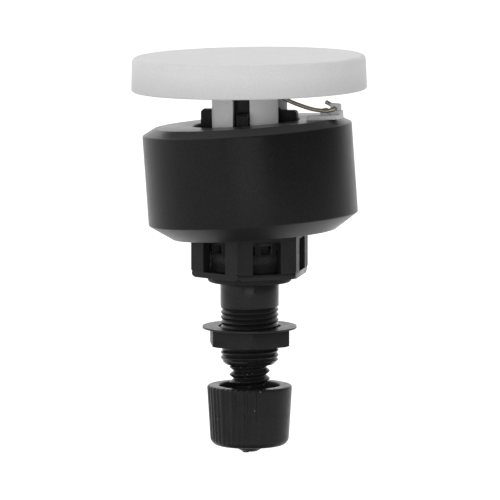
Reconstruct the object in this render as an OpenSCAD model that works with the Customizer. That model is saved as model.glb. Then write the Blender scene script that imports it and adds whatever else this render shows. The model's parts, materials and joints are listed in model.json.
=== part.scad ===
// Internal float drain for the bowl of a compressed-air filter.
// Water lifts the float, the float lifts the pilot lever, and the air let in through the pilot
// nozzle raises a sprung piston that opens the drain. Turning the knob down opens it by hand.
// The origin is the centre of the bowl seat, +Z is up, and -Y is the front.

/* [Bowl joint] */
// Diameter of the plain shank that fills the hole in the bowl floor
shank_d = 14.4; // [14.3:0.02:14.6]
// Length of the plain shank below the bowl seat
shank_len = 6.6; // [5:0.1:8]
// Outer diameter of the stem thread, M14 x 1.25
thread_d = 13.9; // [13.76:0.02:13.96]
// Length of the stem thread
thread_len = 13.8; // [13:0.1:16]
// Height of the chamfer at the end of the stem
stem_chamfer = 1.1; // [0.6:0.1:1.4]
// Outer diameter of the rubber gasket
gasket_d = 20.6; // [18:0.2:22]
// Thickness of the gasket
gasket_t = 1.7; // [1.2:0.1:2.4]
// Thickness of the bowl floor, from the gasket down to the washer
bowl_floor_t = 11.05; // [9.5:0.05:12]
// Outer diameter of the washer
washer_d = 23.2; // [20:0.2:25]
// Thickness of the washer
washer_t = 0.45; // [0.4:0.05:1]
// Diameter of the hole in the washer
washer_hole_d = 15.4; // [14.6:0.1:15.6]
// Width of the nut across its flats
nut_af = 18.8; // [17:0.1:22]
// Height of the nut
nut_h = 4.2; // [3:0.1:5]
// Bearing of a corner of the nut, from the front towards the right
nut_turn = 4; // [-30:0.1:30]

/* [Inlet cage] */
// Width of the flange plate across its corners
plate_corner_d = 29.9; // [28:0.1:30.4]
// Thickness of the flange plate
plate_t = 1.4; // [1:0.1:2.4]
// How far the cage's corners stand out past the plate's
cage_overhang = 0.2; // [0:0.05:1.5]
// Height of the cage
cage_h = 9.8; // [9.2:0.1:12]
// Diameter of the round cavity in the cage
cage_cavity_d = 22.4; // [21.6:0.1:23]
// Width of a window
window_w = 7.2; // [5:0.1:8]
// Height of a window
window_h = 7.6; // [7:0.1:8.2]
// Bevel along the top edge of a window
window_bevel = 0.5; // [0.2:0.1:0.8]
// Bearing of a corner of the cage, from the front towards the right
cage_turn = -11.2; // [-30:0.1:30]

/* [Strainer] */
// Diameter of the strainer's middle band
strainer_d = 20.2; // [19:0.1:21]
// Inner diameter of the strainer
strainer_hole_d = 16.6; // [16:0.1:17.4]
// Height of the strainer's lower band
band_low_h = 2; // [1:0.1:3]
// Height of the strainer's middle band
band_mid_h = 2.3; // [1.5:0.1:3]
// Height of the strainer's top ring
band_top_h = 1; // [0.6:0.1:1.6]
// Number of slots round the strainer
strainer_slots = 14; // [8:1:18]
// Width of a strainer post
strainer_post_w = 1.4; // [0.8:0.1:2]
// Bearing of a strainer post, from the front towards the right
strainer_turn = 11.7; // [-30:0.1:30]

/* [Guide tube] */
// Outer diameter of the tube round the piston
tube_d = 18.6; // [18.2:0.1:20]
// Height of the tube from the cage to its shoulder
tube_h = 20.1; // [19:0.1:24]
// Outer diameter of the neck that the cap slips over
neck_d = 15; // [14.6:0.1:15.2]
// Diameter over the tips of the four guide ribs
rib_tip_d = 23.8; // [22:0.1:24]
// Width of a guide rib
rib_w = 2.6; // [2:0.1:3]
// Height of the guide ribs above the cage
rib_h = 29.5; // [28:0.1:30]
// Bearing of the front rib, from the front towards the right
rib_turn = -9.5; // [-11:0.1:-8]
// Height of the slot floor, where the nozzle sits, above the rib tops
slot_floor_rise = 0.6; // [0:0.1:1]
// Width of the slot that the pilot lever rocks in
rocker_slot_w = 5.5; // [5:0.1:6]
// Height of the two cheeks beside the lever
cheek_h = 6.2; // [5.8:0.1:8]

/* [Shield cap] */
// Diameter of the cap at its rim
cap_d = 57.8; // [54:0.1:64]
// Height of the cap's disc
cap_h = 8.3; // [7:0.1:12]
// How much smaller the disc is at its top, in diameter
cap_draft = 0.4; // [0:0.1:2]
// Radius of the disc's top edge
cap_edge_r = 1.1; // [0.5:0.1:1.6]
// Wall of the disc
cap_wall = 1.8; // [1.6:0.1:3]
// Outer diameter of the cap's column
column_d = 18.5; // [18:0.1:19]
// Height from the tube's shoulder to the rim of the disc
column_h = 14.1; // [13.5:0.1:18]
// Width of a rib slot in the column
rib_slot_w = 4.24; // [4:0.02:4.6]
// Width of the lever slot in the column
lever_slot_w = 5.3; // [4.5:0.1:6]
// Bearing of the front slot, from the front towards the right
cap_turn = -13; // [-13:0.1:-7]
// How far the cap leans, loose on the neck
cap_lean = 1.1; // [0:0.05:1.2]
// Bearing of the side that the leaning cap lifts, from the front towards the right
cap_lean_bearing = 50; // [-180:1:180]
// Reach of the gussets under the disc, beyond the column
gusset_reach = 4.5; // [2:0.1:8]
// Thickness of a gusset
gusset_t = 1.2; // [0.8:0.1:2]
// Angle from the middle of a leg of the column to each of its two gussets
gusset_spread = 12; // [8:1:13]

/* [Float] */
// Diameter of the float
float_d = 51.5; // [48:0.1:54]
// Diameter of the float's bore
float_bore_d = 26.5; // [26.3:0.1:28]
// Height of the float
float_h = 27.5; // [26:0.1:28.5]
// Width of the float's top chamfer
float_top_chamfer_w = 3; // [1:0.1:4]
// Height of the float's top chamfer
float_top_chamfer_h = 1.6; // [0.8:0.1:3]
// Width of the float's bottom chamfer
float_low_chamfer_w = 5.7; // [2:0.1:6.5]
// Height of the float's bottom chamfer
float_low_chamfer_h = 3.8; // [2:0.1:6]
// Clearance between the recess under the float and the cage's corners
float_recess_gap = 1.85; // [1.6:0.05:2.9]
// Depth of the recess under the float
float_recess_h = 2.4; // [2.2:0.1:4]
// Lean of the float at rest, its hook side up
float_lean = 4.4; // [3:0.1:4.6]
// Shift of the float towards its hook at rest
float_shift = 0.25; // [0.05:0.05:0.35]

/* [Float clip] */
// Thickness of the clip strip
clip_t = 1; // [0.8:0.1:1.4]
// Width of the clip strip
clip_w = 4.6; // [4:0.1:6]
// Radius at which the strip starts, from the float's axis
clip_start_r = 17; // [16:0.1:18]
// Radius at which the strip ends, from the float's axis
clip_end_r = 25.2; // [24.8:0.1:25.6]
// Radius of the hook hole, from the float's axis
hook_r = 23.4; // [22.5:0.1:23.6]
// Height of the hook hole above the strip
hook_rise = 1.3; // [1.2:0.05:1.8]
// Thickness of the lug that the wire hooks through
lug_t = 0.9; // [0.7:0.1:1.1]
// Depth of the clip's two prongs in the float
prong_depth = 4; // [2:0.1:6]

/* [Pilot lever] */
// Bearing of the lever, from the front towards the right
lever_bearing = 66; // [64:0.5:68]
// How far the lever turns from rest to full lift
lever_lift = 4.5; // [3:0.1:4.6]
// Diameter of the lever wire
wire_d = 1; // [0.8:0.05:1.1]
// Distance of the pivot behind the nozzle
pivot_back = 4.6; // [4:0.1:5]
// Height of the pivot above the slot floor
pivot_rise = 4.2; // [4:0.1:4.6]
// Diameter of the pivot pin
pivot_pin_d = 1.6; // [1.2:0.1:1.8]
// Width of the rocker
rocker_w = 4.4; // [3.6:0.1:4.8]
// Depth of the rocker
rocker_depth = 2.4; // [2.2:0.1:2.8]
// Reach of the rocker beyond the nozzle
rocker_reach = 5.5; // [4:0.1:6]
// Height of the nozzle tip above the slot floor
nozzle_rise = 2; // [1.6:0.1:2.2]
// Diameter of the nozzle's shank in the slot floor
nozzle_shank_d = 3; // [2.4:0.1:3.2]
// Diameter of the nozzle's flange
nozzle_flange_d = 4.4; // [3.6:0.1:4.8]
// Diameter of the hole through the nozzle
nozzle_hole_d = 0.6; // [0.4:0.1:1]
// Diameter of the rubber pad
pad_d = 3.2; // [2.4:0.1:4]

/* [Piston] */
// Diameter of the cylinder
cylinder_d = 14; // [13:0.1:14.2]
// Height of the cylinder
cylinder_h = 16; // [15:0.1:18]
// Height of the cylinder floor above the cage
floor_rise = 2.6; // [2:0.1:3]
// Height of the piston's crown
crown_h = 5; // [4:0.1:6]
// Thickness of the piston's O-ring
piston_ring_d = 1.5; // [1.2:0.1:1.8]
// Height of the spigot that centres the spring
spigot_h = 2; // [1:0.1:3]
// Gap under the crown at rest, where the pilot air comes in
crown_gap = 2; // [1.6:0.1:3]
// Travel of the piston
piston_travel = 3; // [2:0.1:3.2]
// Diameter of the piston's stem
piston_stem_d = 4; // [3.4:0.1:4.4]
// Diameter of the vent through the piston
vent_d = 1.8; // [1:0.1:2]
// Diameter of the drain seal
drain_seal_d = 6.8; // [6.2:0.1:7.2]
// Thickness of the drain seal
drain_seal_t = 1.7; // [1.2:0.1:2]
// Depth of the spring pocket above the cylinder
pocket_h = 5.5; // [4:0.1:5.6]
// Mean diameter of the return spring
spring_d = 9.4; // [9:0.1:10]
// Diameter of the spring wire
spring_wire_d = 0.8; // [0.5:0.1:1]
// Number of turns in the spring
spring_turns = 6; // [4:0.5:7]

/* [Drain screw] */
// Outer diameter of the drain screw's thread
screw_d = 9.95; // [9.6:0.01:10.1]
// Pitch of the drain screw's thread
screw_pitch = 1.88; // [1.5:0.01:1.9]
// Turns of the knob from rest to the closed drain
screw_turns = 3; // [2:0.5:3]
// Diameter of the bore that the screw's nose slides in
nose_bore_d = 8.4; // [8.2:0.1:8.8]
// Length of that bore below the bowl seat
nose_bore_len = 9.3; // [9:0.1:10]
// Diameter of the outlet through the screw
outlet_d = 4.4; // [3:0.1:5]

/* [Knob] */
// Diameter of the knob at its rim
knob_d = 20.9; // [19:0.1:22]
// Diameter of the knob near its foot
knob_foot_d = 19.4; // [17.5:0.1:21]
// Height of the knob
knob_h = 14.85; // [13:0.05:16]
// Gap between the stem's end and the knob's rim
knob_gap = 5.3; // [5:0.1:6]
// Diameter of the cup in the knob
cup_d = 15; // [14.8:0.1:16]
// Depth of the cup
cup_depth = 5.8; // [4:0.1:6.5]
// Radius of the knob's rim
knob_rim_r = 0.9; // [0.4:0.1:1.2]
// Radius round the knob's foot
knob_foot_r = 2; // [1.5:0.1:3]
// Grooves in each of the two grip sectors
grip_grooves = 13; // [5:1:14]
// Angle from groove to groove
grip_step = 8.4; // [7:0.1:12]
// Bearing of the middle of the front grip sector
grip_bearing = -38.4; // [-60:0.1:-20]
// Depth of a grip groove
grip_depth = 0.3; // [0.1:0.05:0.45]
// Radius of the cutter that makes a grip groove
grip_r = 0.6; // [0.5:0.05:0.8]
// Diameter of the outlet spout
spout_d = 6; // [5:0.1:7]
// Diameter of the spout at its tip
spout_tip_d = 3.9; // [3.6:0.1:4.8]
// Length of the outlet spout
spout_len = 1.6; // [1.2:0.1:2]
// Length of the spout's taper
spout_taper = 0.8; // [0.4:0.1:1.1]
// Diameter of the outlet hole
outlet_hole_d = 1.2; // [0.8:0.1:1.6]
// Diameter of the nub beside the outlet hole
nub_d = 1.8; // [1.4:0.1:2]
// Distance of the nub from the axis, towards the left
nub_shift = 0.85; // [0.6:0.05:0.9]
// Height of the nub
nub_h = 0.35; // [0.2:0.05:0.6]

/* [Hidden] */
$fn = 96;
cut = 0.5;             // how far a cutting shape runs past the face it cuts
run_gap = 0.05;        // radial clearance of a running or sliding fit
press_gap = 0.02;      // radial clearance where two pieces of one body are pressed together
slip_gap = 0.25;       // radial clearance where the cap slips over the neck
rest_gap = 0.15;       // clearance between the resting float and the cage
shut_gap = 0.06;       // clearance between the closed drain seat and its seal
seat_gap = 0.02;       // clearance between two faces that meet or nearly touch
groove_gap = 0.1;      // clearance round an O-ring in its groove
ring_wire_r = 0.6;     // half thickness of the two small O-rings
nozzle_depth = 1.9;    // depth of the nozzle's shank in the slot floor
thread_gap = 0.065;    // radial clearance in a thread
lip = 0.15;            // small step that a slot or window stops short of the face beyond it

plate_top = gasket_t + plate_t;
roof_low = plate_top + window_h + lip;
cage_top = plate_top + cage_h;
cage_corner_d = plate_corner_d + 2*cage_overhang;
cage_af = cage_corner_d*cos(30);
float_recess_d = cage_corner_d + 2*float_recess_gap;
shoulder_z = cage_top + tube_h;
rib_top = cage_top + rib_h;
slot_floor_z = rib_top + slot_floor_rise;
column_low = shoulder_z + seat_gap + column_d/2*sin(cap_lean);
rim_z = column_low + column_h;
cap_top = rim_z + cap_h;
ceiling_z = cap_top - cap_wall;
cap_pivot_z = (shoulder_z + slot_floor_z + cheek_h)/2;
column_hole_d = neck_d + 2*slip_gap;
stem_end_z = -shank_len - thread_len;
relief_d = shank_d - 0.5;
spigot_wall = 0.7;
tube_spigot_d = cylinder_d + 1.2 + 2*spigot_wall;
floor_d = tube_spigot_d - 2*spigot_wall;
floor_top = cage_top + floor_rise;
cylinder_top = floor_top + cylinder_h;
pocket_top = cylinder_top + pocket_h;
crown_low = floor_top + crown_gap;
crown_top = crown_low + crown_h;
seal_low = 0.9;
seal_top = seal_low + drain_seal_t;
screw_lift = screw_pitch*screw_turns;
knob_rim_z = stem_end_z - knob_gap;
knob_low = knob_rim_z - knob_h;
cup_low = knob_rim_z - cup_depth;
nose_d = nose_bore_d - 0.6;
nose_top = seal_low - shut_gap - screw_lift;
screw_thread_top = -nose_bore_len - screw_lift - 0.45;
screw_foot_d = screw_d - 1.4;
screw_foot_z = knob_low + 1.9;
oring_z = nose_top - 2;

// The lever plane has X outwards to the hook and Y away from the viewer.
pivot_z = slot_floor_z + pivot_rise;
rocker_low = pivot_z - rocker_depth/2;
float_mid_z = cage_top + rest_gap + (float_h/2 - float_recess_h)*cos(float_lean)
              + (cage_corner_d/2 + float_shift)*sin(float_lean);
hook_up = float_h/2 + clip_t + hook_rise;
hook_x = float_shift + hook_r*cos(float_lean) - hook_up*sin(float_lean);
hook_z = float_mid_z + hook_r*sin(float_lean) + hook_up*cos(float_lean);
lug_y = wire_d/2 + 0.2;
wire_back_y = lug_y + lug_t + 0.2 + wire_d/2;
hook_hole_d = wire_d + 0.3;

// ---- shapes shared by several pieces ----

// A quarter or half round of a profile, from angle a0 to a1
function arc(x, z, r, a0, a1, n) =
    [for (i = [0:n]) let (a = a0 + (a1 - a0)*i/n) [x + r*cos(a), z + r*sin(a)]];

// Turns a bearing, counted from the front towards the right, into the position about +Z
module at_bearing(bearing) rotate([0, 0, bearing - 90]) children();

module tube(d, hole_d, low, high) {
    translate([0, 0, low]) difference() {
        cylinder(d = d, h = high - low);
        translate([0, 0, -cut]) cylinder(d = hole_d, h = high - low + 2*cut);
    }
}

module rod(d, low, high) translate([0, 0, low]) cylinder(d = d, h = high - low);

module hexagon(corner_d, low, high, bearing) {
    at_bearing(bearing) translate([0, 0, low]) cylinder(d = corner_d, h = high - low, $fn = 6);
}

// An O-ring of the given inner radius, with its middle at height z
module oring(inner_r, wire_r, z) {
    translate([0, 0, z]) rotate_extrude() translate([inner_r + wire_r, 0]) circle(r = wire_r, $fn = 32);
}

// The lever's own plane
module in_lever_plane() at_bearing(lever_bearing) children();

// The float's own frame: its axis leans, and its middle height is at the origin
module in_float_frame() {
    in_lever_plane() translate([float_shift, 0, float_mid_z]) rotate([0, -float_lean, 0]) children();
}

function unit(v) = v/norm(v);
function tangent(p, i) = unit(p[min(i + 1, len(p) - 1)] - p[max(i - 1, 0)]);
function flatten_to(n, t) = unit(n - (n*t)*t);

// The normal of each ring of a swept wire, carried along from ring to ring
function normals(p, i, n) =
    i == len(p) ? [] : let (m = flatten_to(n, tangent(p, i))) concat([m], normals(p, i + 1, m));

// A smooth curve through the points p, with the given steps between two of them
function smooth(p, steps) = concat(
    [for (i = [0:len(p) - 2], j = [0:steps - 1])
        let (a = p[max(i - 1, 0)], b = p[i], c = p[i + 1], d = p[min(i + 2, len(p) - 1)], t = j/steps)
        0.5*((2*b) + (c - a)*t + (2*a - 5*b + 4*c - d)*t*t + (3*b - a - 3*c + d)*t*t*t)],
    [p[len(p) - 1]]);

// A round wire swept along the points p; up is any direction that isn't along its start
module wire(p, r, sides, up) {
    rings = len(p);
    n = normals(p, 0, up);
    points = [for (i = [0:rings - 1]) let (t = tangent(p, i), side = cross(t, n[i]))
              for (k = [0:sides - 1]) let (a = 360*k/sides) p[i] + r*(cos(a)*n[i] + sin(a)*side)];
    walls = [for (i = [0:rings - 2], k = [0:sides - 1]) let (m = (k + 1)%sides)
             [i*sides + k, (i + 1)*sides + k, (i + 1)*sides + m, i*sides + m]];
    first = [for (k = [0:sides - 1]) k];
    last = [for (k = [sides - 1:-1:0]) (rings - 1)*sides + k];
    polyhedron(points = points, faces = concat(walls, [first], [last]));
}

// ---- the bowl joint ----

module stem_body() {
    color("#2a2a2b") difference() {
        union() {
            intersection() {
                hexagon(plate_corner_d, gasket_t, plate_top, cage_turn);
                translate([0, 0, gasket_t]) cylinder(d1 = plate_corner_d - 0.7, d2 = plate_corner_d + 3, h = 2*plate_t);
            }
            rod(relief_d, -cut, plate_top);
            rod(shank_d, -shank_len, 0);
            rod(thread_d, stem_end_z + stem_chamfer, -shank_len + cut/2);
            translate([0, 0, stem_end_z])
                cylinder(d1 = thread_d - 2*stem_chamfer, d2 = thread_d, h = stem_chamfer);
            rod(strainer_hole_d - 2*groove_gap, gasket_t, plate_top + band_low_h/2);
        }
        rod(screw_d + 2*thread_gap, stem_end_z - cut, -nose_bore_len);
        rod(nose_bore_d, -nose_bore_len - cut, plate_top + band_low_h);
    }
}

module bowl_gasket() {
    edge_r = 0.6;
    hole_r = relief_d/2 + 0.3;
    color("#1c1c1d") rotate_extrude() polygon(concat(
        [[hole_r, 0]],
        arc(gasket_d/2 - edge_r, edge_r, edge_r, -90, 0, 5),
        [[gasket_d/2, gasket_t], [hole_r, gasket_t]]));
}

module bowl_washer() {
    color("#3a3a3c") tube(washer_d, washer_hole_d, -bowl_floor_t - washer_t, -bowl_floor_t);
}

module bowl_nut() {
    top = -bowl_floor_t - washer_t;
    corner_d = nut_af/cos(30);
    chamfer_w = 0.6;
    chamfer_h = 0.25;
    color("#2f2f30") difference() {
        intersection() {
            hexagon(corner_d, top - nut_h, top, nut_turn);
            rotate_extrude() polygon([
                [0, top - nut_h],
                [corner_d/2 - chamfer_w, top - nut_h],
                [corner_d/2 + chamfer_w, top - nut_h + 2*chamfer_h],
                [corner_d/2 + chamfer_w, top],
                [0, top]]);
        }
        rod(thread_d + 2*thread_gap, top - nut_h - cut, top + cut);
    }
}

// ---- the inlet ----

module inlet_cage() {
    chamfer = 0.45;
    color("#2b2b2c") difference() {
        intersection() {
            hexagon(cage_corner_d, plate_top, cage_top, cage_turn);
            translate([0, 0, plate_top])
                cylinder(d1 = cage_corner_d - 2*chamfer, d2 = cage_corner_d + 2*(cage_h - chamfer), h = cage_h);
        }
        rod(cage_cavity_d, plate_top - cut, roof_low);
        rod(tube_spigot_d + 2*press_gap, roof_low - cut, cage_top + cut);
        for (i = [0:5]) at_bearing(cage_turn + 30 + 60*i) {
            translate([cage_cavity_d/2 - 2, -window_w/2, plate_top - cut])
                cube([cage_corner_d/2, window_w, window_h + cut]);
            translate([cage_af/2, -window_w/2 + lip, roof_low - lip])
                rotate([0, 45, 0]) translate([-window_bevel, 0, -window_bevel])
                cube([2*window_bevel, window_w - 2*lip, 2*window_bevel]);
        }
    }
}

module strainer() {
    step = 0.3;
    band_mid_top = plate_top + band_low_h + band_mid_h;
    color("#303031") difference() {
        union() {
            rod(strainer_d - 2*step, plate_top, roof_low);
            rod(strainer_d, plate_top + band_low_h, band_mid_top);
        }
        rod(strainer_hole_d, plate_top - cut, roof_low - band_top_h);
        rod(floor_d - 1.2, roof_low - band_top_h - cut, roof_low + cut);
        for (i = [0:strainer_slots - 1]) at_bearing(strainer_turn + (i + 0.5)*360/strainer_slots) {
            slot_w = PI*(strainer_d - 2*step)/strainer_slots - strainer_post_w;
            translate([strainer_hole_d/2 - 1, -slot_w/2, band_mid_top + lip])
                cube([4, slot_w, roof_low - band_top_h - band_mid_top - 2*lip]);
        }
    }
}

// ---- the guide tube, which holds the cylinder, the nozzle and the lever ----

// Pilot air runs from under the nozzle to the back rib, down in that rib and in under the piston.
module air_way() {
    way_d = 0.9;
    way_r = tube_d/2 - 0.7;
    cross_z = pocket_top + 2;
    port_z = floor_top + crown_gap/2;
    rod(1.2, cross_z, slot_floor_z + cut);
    at_bearing(rib_turn + 180) {
        translate([way_r, 0, port_z]) cylinder(d = way_d, h = cross_z - port_z, $fn = 24);
        translate([0, 0, cross_z]) rotate([0, 90, 0]) cylinder(d = way_d, h = way_r + way_d/2, $fn = 24);
        translate([cylinder_d/2 - 1, 0, port_z])
            rotate([0, 90, 0]) cylinder(d = way_d, h = way_r + way_d/2 - cylinder_d/2 + 1, $fn = 24);
    }
}

module guide_rib() {
    chamfer = 0.5;
    translate([0, rib_w/2, 0]) rotate([90, 0, 0]) linear_extrude(rib_w) polygon([
        [cylinder_d/2 + 0.3, cage_top], [rib_tip_d/2, cage_top], [rib_tip_d/2, rib_top - chamfer],
        [rib_tip_d/2 - chamfer, rib_top], [neck_d/2 - 0.3, rib_top], [neck_d/2 - 0.3, shoulder_z - 1],
        [cylinder_d/2 + 0.3, shoulder_z - 1]]);
}

module guide_tube() {
    cheek_top = slot_floor_z + cheek_h;
    bead = 0.15;
    bead_z = shoulder_z + 3;
    color("#262627") difference() {
        union() {
            rod(tube_d, cage_top, shoulder_z);
            rod(tube_spigot_d, roof_low, cage_top + cut);
            rod(neck_d, shoulder_z - cut, cheek_top);
            translate([0, 0, bead_z - bead]) cylinder(d1 = neck_d, d2 = neck_d + 2*bead, h = bead);
            translate([0, 0, bead_z]) cylinder(d1 = neck_d + 2*bead, d2 = neck_d, h = bead);
            for (i = [0:3]) at_bearing(rib_turn + 90*i) guide_rib();
        }
        rod(floor_d + 2*press_gap, roof_low - cut, floor_top);
        rod(cylinder_d, floor_top - cut, cylinder_top);
        rod(spring_d + spring_wire_d + 1, cylinder_top - cut, pocket_top);
        in_lever_plane() {
            translate([-neck_d, -rocker_slot_w/2, slot_floor_z])
                cube([2*neck_d, rocker_slot_w, cheek_h + cut]);
            translate([-pivot_back, neck_d, pivot_z]) rotate([90, 0, 0])
                cylinder(d = pivot_pin_d + 2*press_gap, h = 2*neck_d, $fn = 32);
        }
        rod(nozzle_shank_d, slot_floor_z - nozzle_depth - 0.1, slot_floor_z + cut);
        air_way();
    }
}

module cylinder_floor() {
    groove_r = piston_stem_d/2 + run_gap + 2*ring_wire_r + groove_gap;
    middle = (roof_low + floor_top)/2;
    color("#38383a") difference() {
        rod(floor_d, roof_low, floor_top);
        rod(piston_stem_d + 2*run_gap, roof_low - cut, floor_top + cut);
        rod(2*groove_r, middle - ring_wire_r - groove_gap, middle + ring_wire_r + groove_gap);
    }
}

module stem_seal() {
    color("#181818") oring(piston_stem_d/2 + run_gap, ring_wire_r, (roof_low + floor_top)/2);
}

module pilot_nozzle() {
    flange_h = 0.6;
    tip_z = slot_floor_z + nozzle_rise;
    color("#b08d4a") difference() {
        union() {
            rod(nozzle_shank_d - 2*press_gap, slot_floor_z - nozzle_depth, slot_floor_z + flange_h);
            rod(nozzle_flange_d, slot_floor_z, slot_floor_z + flange_h);
            translate([0, 0, slot_floor_z + flange_h])
                cylinder(d1 = nozzle_flange_d - 1.8, d2 = nozzle_hole_d + 0.8, h = nozzle_rise - flange_h);
        }
        rod(nozzle_hole_d, slot_floor_z - nozzle_depth - cut, tip_z + cut);
    }
}

module pivot_pin() {
    length = 2*sqrt(pow(neck_d/2, 2) - pow(pivot_back + pivot_pin_d/2, 2)) - 0.4;
    color("#a9a9a6") in_lever_plane() translate([-pivot_back, length/2, pivot_z])
        rotate([90, 0, 0]) cylinder(d = pivot_pin_d, h = length, $fn = 32);
}

// ---- the shield cap ----

module cap_shell() {
    top_r = (cap_d - cap_draft)/2;
    rim_edge = 0.3;
    rotate_extrude() polygon(concat(
        [[column_hole_d/2, column_low], [column_d/2, column_low], [column_d/2, ceiling_z],
         [top_r - cap_wall - 0.6, ceiling_z], [top_r - cap_wall, ceiling_z - 0.6],
         [cap_d/2 - cap_wall, rim_z], [cap_d/2 - rim_edge, rim_z], [cap_d/2, rim_z + rim_edge]],
        arc(top_r - cap_edge_r, cap_top - cap_edge_r, cap_edge_r, 0, 90, 8),
        [[0, cap_top], [0, ceiling_z], [column_hole_d/2, ceiling_z]]));
}

// The cap leans about a point half-way up the neck, as far as the slip gap lets it.
module lean_on_neck() {
    turn = cap_lean_bearing - 90;
    translate([0, 0, cap_pivot_z]) rotate([0, 0, turn]) rotate([0, -cap_lean, 0]) rotate([0, 0, -turn])
        translate([0, 0, -cap_pivot_z]) children();
}

module shield_cap() {
    reach_r = column_d/2 + gusset_reach;
    color("#d9d9d9") lean_on_neck() difference() {
        union() {
            cap_shell();
            for (i = [0:3], side = [-gusset_spread, gusset_spread]) at_bearing(cap_turn + 45 + 90*i + side)
                translate([0, gusset_t/2, 0]) rotate([90, 0, 0]) linear_extrude(gusset_t) polygon([
                    [column_d/2 - 0.4, ceiling_z + 0.4], [reach_r, ceiling_z + 0.4], [reach_r, ceiling_z - 0.6],
                    [column_d/2, rim_z + 1], [column_d/2 - 0.4, rim_z + 1]]);
        }
        translate([0, 0, column_low - cut]) linear_extrude(ceiling_z + 2*lip - column_low + cut) {
            for (i = [0:3]) at_bearing(cap_turn + 90*i)
                translate([neck_d/2 - 2, -rib_slot_w/2]) square([5, rib_slot_w]);
            in_lever_plane() translate([neck_d/2 - 2, -lever_slot_w/2]) square([5, lever_slot_w]);
        }
        translate([0, 0, shoulder_z + 3]) tube(neck_d + 2*slip_gap + 0.6, neck_d, -0.45, 0.45);
    }
}

// ---- the float and its clip ----

module prongs(margin) {
    for (x = [clip_start_r + 1.4, clip_start_r + 4.2])
        translate([x - margin, -1.2 - margin, float_h/2 - prong_depth - margin])
        cube([0.9 + 2*margin, 2.4 + 2*margin, prong_depth + 2*margin + clip_t/2]);
}

module float_ring() {
    r = float_d/2;
    h = float_h/2;
    color("#222223") in_float_frame() difference() {
        rotate_extrude() polygon([
            [float_bore_d/2, -h + float_recess_h], [float_recess_d/2, -h + float_recess_h],
            [float_recess_d/2, -h], [r - float_low_chamfer_w, -h], [r, -h + float_low_chamfer_h],
            [r, h - float_top_chamfer_h], [r - float_top_chamfer_w, h], [float_bore_d/2, h]]);
        prongs(groove_gap);
    }
}

module float_clip() {
    lug_high = hook_rise + 1.5;
    color("#b4b4b2") in_float_frame() difference() {
        union() {
            translate([clip_start_r, -clip_w/2, float_h/2])
                cube([clip_end_r - clip_start_r - 0.6, clip_w, clip_t]);
            translate([clip_end_r - 1, -clip_w/2 + 0.5, float_h/2]) cube([1, clip_w - 1, clip_t]);
            translate([clip_end_r - 0.9, 0.2, float_h/2]) cube([0.9, clip_w/2 - 0.7, clip_t + 0.9]);
            translate([0, lug_y + lug_t, float_h/2]) rotate([90, 0, 0]) linear_extrude(lug_t) polygon([
                [hook_r - 1.2, 0], [hook_r + 1.4, 0], [hook_r + 1.5, clip_t + lug_high - 0.5],
                [hook_r + 1.1, clip_t + lug_high - 0.2], [hook_r - 1, clip_t + lug_high]]);
            translate([hook_r - 2.7, lug_y + lug_t, float_h/2 + clip_t + 0.5])
                rotate([90, 0, 0]) cylinder(r = 1.2, h = lug_t, $fn = 48);
            prongs(0);
        }
        translate([hook_r, 0, hook_up]) rotate([-90, 0, 0])
            cylinder(d = hook_hole_d, h = clip_w, $fn = 32);
    }
}

// ---- the pilot lever ----

module lever_rocker() {
    color("#8f8f8c") in_lever_plane() difference() {
        union() {
            translate([-pivot_back, -rocker_w/2, rocker_low])
                cube([pivot_back + rocker_reach, rocker_w, rocker_depth]);
            translate([-pivot_back, rocker_w/2, pivot_z]) rotate([90, 0, 0])
                cylinder(d = rocker_depth, h = rocker_w, $fn = 48);
        }
        translate([-pivot_back, rocker_w, pivot_z]) rotate([90, 0, 0])
            cylinder(d = pivot_pin_d + 2*run_gap, h = 2*rocker_w, $fn = 32);
        translate([rocker_reach - 4.5, 0, pivot_z]) rotate([0, 90, 0])
            cylinder(d = wire_d + 2*press_gap, h = 5, $fn = 32);
    }
}

module pilot_pad() {
    color("#1b1b1b") rod(pad_d, slot_floor_z + nozzle_rise + seat_gap, rocker_low);
}

// The wire leaves the rocker level, drops to the clip, passes through the lug and turns back over it.
module lever_wire() {
    start = [rocker_reach, 0, pivot_z];
    hook = [hook_x, 0, hook_z];
    // Each row: share of the way from rocker to hook, and share of the rocker's height above the hook
    sag = [[0.15, 0.7], [0.32, 0.39], [0.5, 0.14], [0.68, -0.05], [0.82, -0.11], [0.9, -0.13]];
    run = [for (s = sag) [start[0] + (hook[0] - start[0])*s[0], 0, hook[2] + (start[2] - hook[2])*s[1]]];
    turn = [hook + [-0.4, 0.12, -0.1], hook + [0, lug_y - 0.1, 0], hook + [0, lug_y + lug_t + 0.1, 0],
            hook + [-0.3, wire_back_y - 0.05, 0.15], hook + [-0.9, wire_back_y, 0.55],
            hook + [-1.9, wire_back_y, 1.05], hook + [-2.9, wire_back_y, 1.5]];
    path = concat([[rocker_reach - 4.4, 0, pivot_z], start - [1, 0, 0], start], run, turn);
    color("#a39b88") in_lever_plane() wire(smooth(path, 3), wire_d/2, 10, [0, 0, 1]);
}

// ---- the piston ----

module piston() {
    flange_t = 1;
    groove_r = cylinder_d/2 - run_gap - piston_ring_d - groove_gap;
    groove_half = piston_ring_d/2 + 0.15;
    middle = (crown_low + crown_top)/2;
    color("#c9c4b4") difference() {
        union() {
            rod(cylinder_d - 0.6, crown_low, crown_top);
            rod(piston_stem_d, seal_top, crown_low + cut);
            rod(drain_seal_d, seal_top, seal_top + flange_t);
            rod(spring_d - spring_wire_d - 0.8, crown_top - cut, crown_top + spigot_h);
        }
        rod(vent_d, seal_top - cut, crown_top + spigot_h + cut);
        translate([0, 0, middle]) tube(cylinder_d + 1, 2*groove_r, -groove_half, groove_half);
    }
}

module piston_seal() {
    color("#181818") oring(cylinder_d/2 - run_gap - piston_ring_d, piston_ring_d/2, (crown_low + crown_top)/2);
}

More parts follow.
